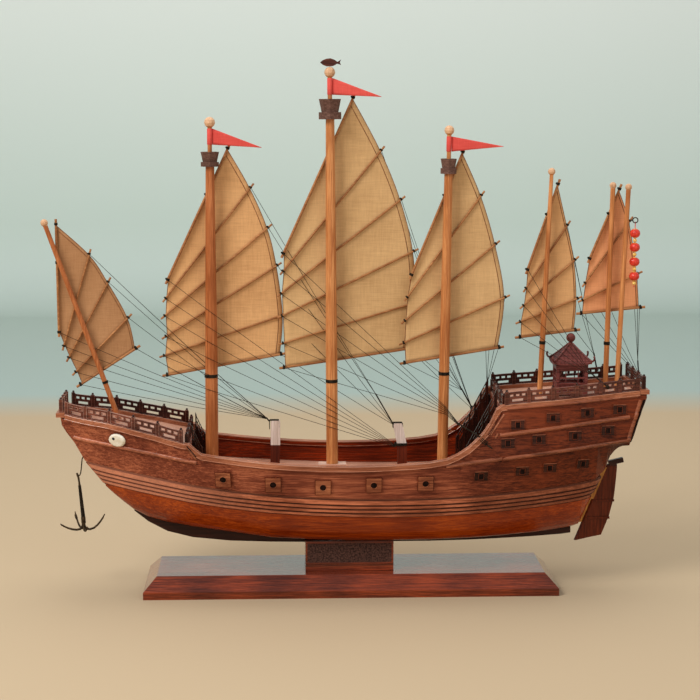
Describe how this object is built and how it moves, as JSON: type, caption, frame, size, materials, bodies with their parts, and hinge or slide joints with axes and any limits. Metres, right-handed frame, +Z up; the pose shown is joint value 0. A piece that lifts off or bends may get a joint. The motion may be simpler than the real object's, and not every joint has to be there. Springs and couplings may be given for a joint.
{
  "type": "model junk on a display stand",
  "caption": "Wooden desktop model of a junk with fan-battened sails, railed castles, a swinging rudder, a hanging anchor and lanterns, on a plank stand.",
  "frame": {"origin": "centre of the stand's underside", "axes": "+X towards the stern, +Y towards the starboard side, +Z up"},
  "size_m": [0.6063, 0.1426, 0.5337],
  "materials": {
    "stand_wood": "gloss",
    "keel_wood": "satin",
    "polished_wood": "gloss",
    "hull_wood": "satin",
    "cap_wood": "satin",
    "dark_wood": "satin",
    "spar_wood": "satin",
    "nest_wood": "matte",
    "pavilion_wood": "satin",
    "flag_cloth": "matte",
    "sailcloth": "matte",
    "ivory": "satin",
    "dark_metal": "aged",
    "lantern_red": "gloss"
  },
  "bodies": {
    "ship": {"stand_base": "stand_wood", "stand_pedestal": "stand_wood", "keel": "keel_wood", "hull_bottom": "polished_wood", "hull_middle": "hull_wood", "forecastle": "hull_wood", "sterncastle": "hull_wood", "main_deck": "cap_wood", "bulwark_port": "hull_wood", "bulwark_starboard": "hull_wood", "cap_rail_port": "cap_wood", "cap_rail_starboard": "cap_wood", "cap_rail_bow": "cap_wood", "cap_rail_stern": "cap_wood", "rail_fore_port": "dark_wood", "rail_fore_starboard": "dark_wood", "rail_poop_port": "dark_wood", "rail_poop_starboard": "dark_wood", "rail_bow": "dark_wood", "rail_stern": "dark_wood", "rail_fore_break": "dark_wood", "rail_poop_front": "dark_wood", "stair_fore_port": "dark_wood", "stair_fore_starboard": "dark_wood", "stair_poop_port": "dark_wood", "stair_poop_starboard": "dark_wood", "sternpost": "cap_wood", "mast_1": "spar_wood", "mast_2": "spar_wood", "mast_3": "spar_wood", "mast_4": "spar_wood", "mast_5": "spar_wood", "mast_6": "spar_wood", "lantern_pole": "spar_wood", "nest_2": "nest_wood", "nest_3": "nest_wood", "nest_4": "nest_wood", "flag_2": "flag_cloth", "flag_3": "flag_cloth", "flag_4": "flag_cloth", "fish_finial": "dark_wood", "sail_1": "sailcloth", "sail_2": "sailcloth", "sail_3": "sailcloth", "sail_4": "sailcloth", "sail_5": "sailcloth", "sail_6": "sailcloth", "belaying_post_1": "cap_wood", "belaying_post_2": "cap_wood", "mast_step": "cap_wood", "pavilion_body": "pavilion_wood", "pavilion_roof": "pavilion_wood", "eye_port": "ivory", "eye_starboard": "ivory", "anchor_eye": "dark_metal", "lantern_hook": "dark_metal"},
    "rudder": {"rudder_blade": "hull_wood", "rudder_bar": "dark_wood"},
    "anchor": {"anchor": "dark_metal"},
    "lanterns": {"lantern_string": "lantern_red"}
  },
  "joints": [
    {"name": "rudder_turn", "type": "hinge", "parent": "ship", "child": "rudder", "pos_m": [0.25078, 0, 0.09], "axis": [0.374, 0, 0.9274], "range_deg": [-30, 30]},
    {"name": "anchor_swing", "type": "hinge", "parent": "ship", "child": "anchor", "pos_m": [-0.2694, 0, 0.137], "axis": [0, 1, 0], "range_deg": [-16, 60]},
    {"name": "lantern_swing", "type": "hinge", "parent": "ship", "child": "lanterns", "pos_m": [0.2845, -0.014, 0.3725], "axis": [1, 0, 0], "range_deg": [-30, 10]}
  ]
}
